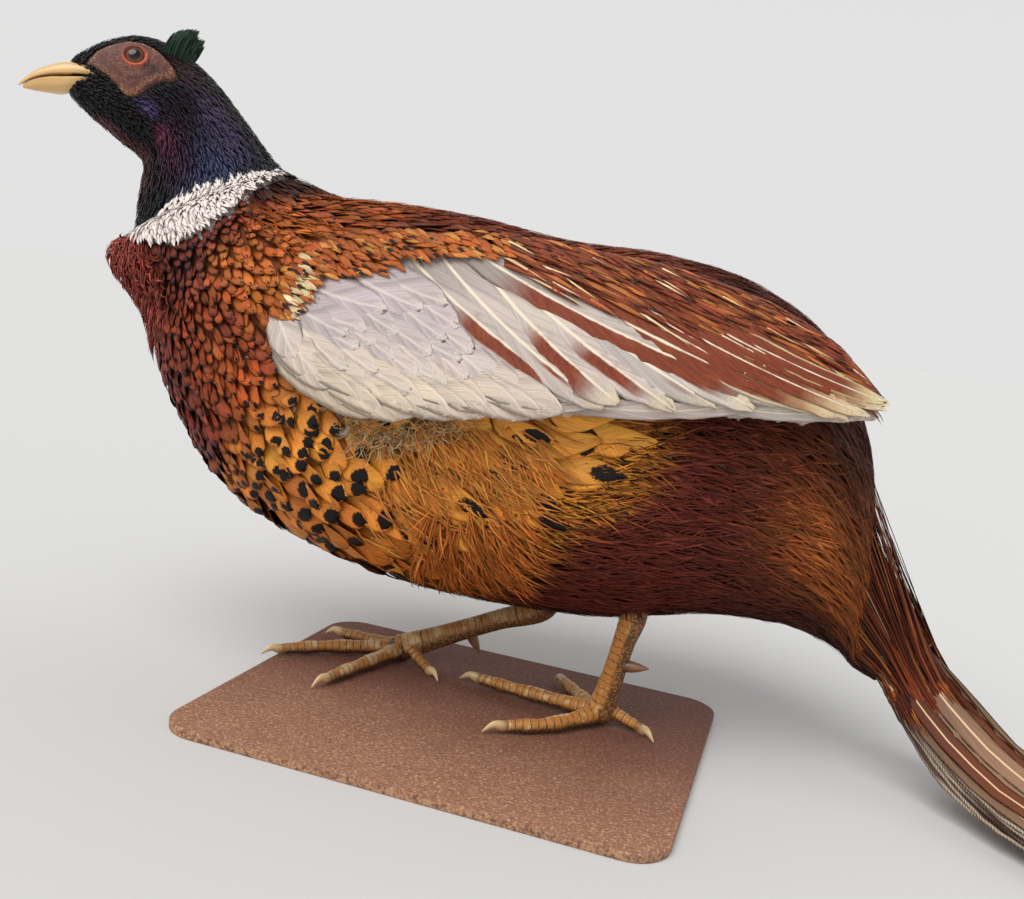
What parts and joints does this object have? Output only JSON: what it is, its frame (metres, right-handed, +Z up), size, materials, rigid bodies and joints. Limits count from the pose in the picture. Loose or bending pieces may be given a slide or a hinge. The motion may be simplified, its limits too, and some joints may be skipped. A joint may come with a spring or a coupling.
{
  "type": "taxidermy pheasant",
  "caption": "Mounted ring-necked cock pheasant in stride on a thin rounded board, head turned, white neck ring, folded wings and a long pointed tail.",
  "frame": {"origin": "middle of the board's underside, which lies on the floor", "axes": "+Z up; the bird faces -X, its left side towards -Y; the tail trails towards +X"},
  "size_m": [0.775, 0.2526, 0.2767],
  "materials": {
    "board": "matte pressed fibre board with a rough sawn edge",
    "body_plumage": "soft overlapping feathers, copper and maroon with dark edges",
    "neck_plumage": "short close feathers with a violet and green sheen",
    "head_plumage": "very short feathers round a pebbled bare face patch",
    "ear_tuft": "satin green-black feathers",
    "wing_coverts": "smooth pale lilac-grey feathers",
    "flight_feathers": "stiff cream feathers striped maroon",
    "tail_feathers": "long stiff feathers, buff with dark bars",
    "bill": "satin horn, pale yellow with a darker ridge",
    "eye": "glossy glass eye, dark brown",
    "leg": "dry scaly skin, ochre-brown with cream scale edges",
    "claw": "satin cream horn"
  },
  "bodies": {
    "root": {"board": "board", "head": "head_plumage", "neck": "neck_plumage", "trunk": "body_plumage", "rump": "body_plumage", "tail_coverts": "body_plumage", "bill_upper": "bill", "bill_lower": "bill", "eye_left": "eye", "ear_tuft_left": "ear_tuft", "wing_left_coverts": "wing_coverts", "wing_left_flight_feathers": "flight_feathers", "thigh_left": "body_plumage", "shank_left": "leg", "foot_left": "leg", "spur_left": "claw", "claw_left_inner": "claw", "claw_left_middle": "claw", "claw_left_outer": "claw", "claw_left_hind": "claw", "tail_feather_left_1": "tail_feathers", "tail_feather_left_2": "tail_feathers", "tail_feather_left_3": "tail_feathers", "tail_feather_left_4": "tail_feathers", "tail_feather_left_5": "tail_feathers", "eye_right": "eye", "ear_tuft_right": "ear_tuft", "wing_right_coverts": "wing_coverts", "wing_right_flight_feathers": "flight_feathers", "thigh_right": "body_plumage", "shank_right": "leg", "foot_right": "leg", "spur_right": "claw", "claw_right_inner": "claw", "claw_right_middle": "claw", "claw_right_outer": "claw", "claw_right_hind": "claw", "tail_feather_right_1": "tail_feathers", "tail_feather_right_2": "tail_feathers", "tail_feather_right_3": "tail_feathers", "tail_feather_right_4": "tail_feathers", "tail_feather_right_5": "tail_feathers"}
  },
  "joints": []
}
